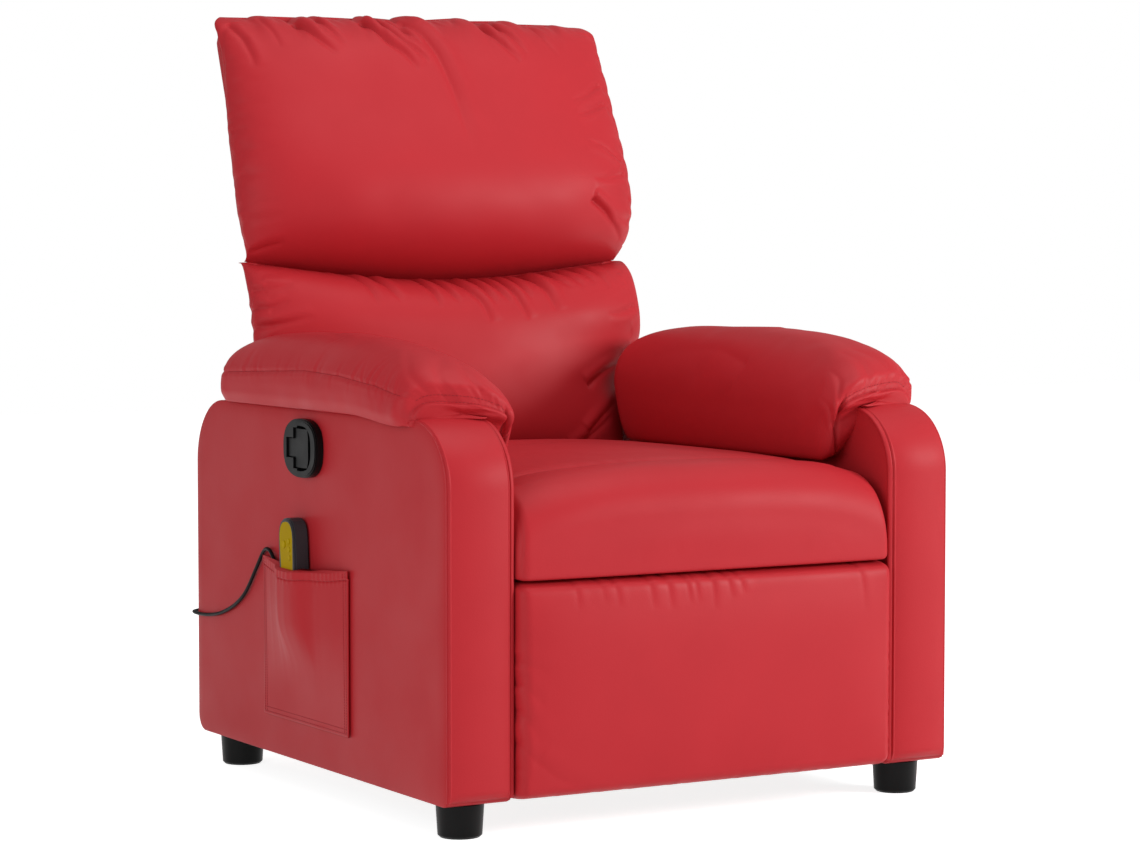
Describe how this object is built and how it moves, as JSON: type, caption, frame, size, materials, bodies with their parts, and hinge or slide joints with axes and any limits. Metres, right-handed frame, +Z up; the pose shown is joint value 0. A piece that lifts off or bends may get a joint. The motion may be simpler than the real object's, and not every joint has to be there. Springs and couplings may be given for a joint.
{
  "type": "massage chair",
  "caption": "Upholstered massage recliner: padded arms on round feet, head and lumbar pillows, sprung seat, footrest on folding links, pull handle, side pocket with wired handset.",
  "frame": {"origin": "middle of the footprint of the whole chair, at floor level", "axes": "+Z up, -Y the way the sitter faces, +X towards the left-hand arm of the sitter"},
  "size_m": [0.8155, 0.9078, 1.0788],
  "materials": {
    "timber": "sanded",
    "side_leather": "matte",
    "red_leather": "semi-gloss",
    "foot_plastic": "satin",
    "black_plastic": "satin",
    "handset_grey": "satin",
    "face_yellow": "satin",
    "key_yellow": "matte",
    "cord_black": "satin",
    "webbing": "woven",
    "bright_steel": "zinc plated",
    "link_steel": "powder coated"
  },
  "bodies": {
    "chair_base": {"arm_frame_right": "timber", "arm_frame_left": "timber", "arm_cover_right": "side_leather", "arm_cover_left": "side_leather", "arm_front_right": "red_leather", "arm_front_left": "red_leather", "arm_pad_right": "red_leather", "arm_pad_left": "red_leather", "front_rail": "timber", "rear_rail": "timber", "feet": "foot_plastic", "foot_bolts": "bright_steel", "side_pocket": "side_leather", "handle_bezel": "black_plastic", "release_cable": "cord_black", "latch_box": "link_steel", "base_plate_right": "link_steel", "base_plate_left": "link_steel", "base_pivots": "bright_steel", "plate_bolts": "bright_steel", "seat_frame": "timber", "seat_webbing": "webbing", "seat_cushion": "red_leather", "seat_motors": "black_plastic", "control_box": "black_plastic", "power_inlet": "bright_steel", "handset_body": "handset_grey", "handset_faceplate": "face_yellow", "handset_cord": "cord_black", "cord_gland": "cord_black"},
    "release_handle": {"release_handle": "black_plastic"},
    "motor_weight_seat_right": {"motor_weight_seat_right": "bright_steel"},
    "motor_weight_seat_left": {"motor_weight_seat_left": "bright_steel"},
    "key_top": {"key_top": "key_yellow"},
    "key_middle": {"key_middle": "key_yellow"},
    "key_low": {"key_low": "key_yellow"},
    "key_level": {"key_level": "key_yellow"},
    "key_arrow": {"key_arrow": "key_yellow"},
    "front_links": {"front_links": "link_steel", "drive_tube": "link_steel", "front_link_rivets": "bright_steel"},
    "lower_links": {"lower_links": "link_steel"},
    "rear_links": {"rear_links": "link_steel"},
    "upper_links": {"upper_links": "link_steel"},
    "footrest": {"footrest_board": "timber", "footrest_pad": "red_leather", "footrest_brackets": "link_steel", "bracket_rivets": "bright_steel"},
    "back": {"back_frame": "timber", "back_webbing": "webbing", "back_shell": "side_leather", "head_pillow": "red_leather", "lumbar_pillow": "red_leather", "back_brackets": "link_steel", "back_motors": "black_plastic"},
    "motor_weight_head_right": {"motor_weight_head_right": "bright_steel"},
    "motor_weight_head_left": {"motor_weight_head_left": "bright_steel"},
    "motor_weight_lumbar_right": {"motor_weight_lumbar_right": "bright_steel"},
    "motor_weight_lumbar_left": {"motor_weight_lumbar_left": "bright_steel"}
  },
  "joints": [
    {"name": "footrest_raise", "type": "hinge", "parent": "chair_base", "child": "front_links", "pos_m": [0, -0.348, 0.304], "axis": [-1, 0, 0], "range_deg": [0, 88.33]},
    {"name": "lower_link_turn", "type": "hinge", "parent": "front_links", "child": "lower_links", "pos_m": [0, -0.2344, 0.1392], "axis": [-1, 0, 0], "range_deg": [-73.4, 0]},
    {"name": "footrest_turn", "type": "hinge", "parent": "lower_links", "child": "footrest", "pos_m": [0, -0.366, 0.2514], "axis": [-1, 0, 0], "range_deg": [0, 75.1]},
    {"name": "rear_link_turn", "type": "hinge", "parent": "chair_base", "child": "rear_links", "pos_m": [0, -0.308, 0.274], "axis": [-1, 0, 0], "range_deg": [0, 86.2]},
    {"name": "upper_link_turn", "type": "hinge", "parent": "front_links", "child": "upper_links", "pos_m": [0, -0.2294, 0.093], "axis": [-1, 0, 0], "range_deg": [-71.2, 0]},
    {"name": "back_recline", "type": "hinge", "parent": "chair_base", "child": "back", "pos_m": [0, 0.24984, 0.35757], "axis": [-1, 0, 0], "range_deg": [0, 38]},
    {"name": "handle_pull", "type": "hinge", "parent": "chair_base", "child": "release_handle", "pos_m": [-0.389, -0.01, 0.473], "axis": [0, 0, -1], "range_deg": [0, 35], "stiffness_Nm_per_rad": 0.6},
    {"name": "key_top_press", "type": "slide", "parent": "chair_base", "child": "key_top", "axis": [1, 0, 0], "range_m": [0, 0.0008], "stiffness_N_per_m": 800},
    {"name": "key_middle_press", "type": "slide", "parent": "chair_base", "child": "key_middle", "axis": [1, 0, 0], "range_m": [0, 0.0008], "stiffness_N_per_m": 800},
    {"name": "key_low_press", "type": "slide", "parent": "chair_base", "child": "key_low", "axis": [1, 0, 0], "range_m": [0, 0.0008], "stiffness_N_per_m": 800},
    {"name": "key_level_press", "type": "slide", "parent": "chair_base", "child": "key_level", "axis": [1, 0, 0], "range_m": [0, 0.0008], "stiffness_N_per_m": 800},
    {"name": "key_arrow_press", "type": "slide", "parent": "chair_base", "child": "key_arrow", "axis": [1, 0, 0], "range_m": [0, 0.0008], "stiffness_N_per_m": 800},
    {"name": "spin_seat_right", "type": "hinge", "parent": "chair_base", "child": "motor_weight_seat_right", "pos_m": [-0.11, -0.268, 0.335], "axis": [0, 0, 1], "continuous": true},
    {"name": "spin_seat_left", "type": "hinge", "parent": "chair_base", "child": "motor_weight_seat_left", "pos_m": [0.11, -0.268, 0.335], "axis": [0, 0, 1], "continuous": true},
    {"name": "spin_head_right", "type": "hinge", "parent": "back", "child": "motor_weight_head_right", "pos_m": [-0.165, 0.38254, 0.84897], "axis": [0, -0.9659, 0.2588], "continuous": true},
    {"name": "spin_head_left", "type": "hinge", "parent": "back", "child": "motor_weight_head_left", "pos_m": [0.165, 0.38254, 0.84897], "axis": [0, -0.9659, 0.2588], "continuous": true},
    {"name": "spin_lumbar_right", "type": "hinge", "parent": "back", "child": "motor_weight_lumbar_right", "pos_m": [-0.148, 0.31888, 0.61135], "axis": [0, -0.9659, 0.2588], "continuous": true},
    {"name": "spin_lumbar_left", "type": "hinge", "parent": "back", "child": "motor_weight_lumbar_left", "pos_m": [0.148, 0.31888, 0.61135], "axis": [0, -0.9659, 0.2588], "continuous": true}
  ],
  "couplings": [
    {"joint": "lower_link_turn", "follows": "footrest_raise", "ratio": -0.83018},
    {"joint": "footrest_turn", "follows": "footrest_raise", "ratio": 0.84909},
    {"joint": "rear_link_turn", "follows": "footrest_raise", "ratio": 0.97532},
    {"joint": "upper_link_turn", "follows": "footrest_raise", "ratio": -0.80539}
  ]
}
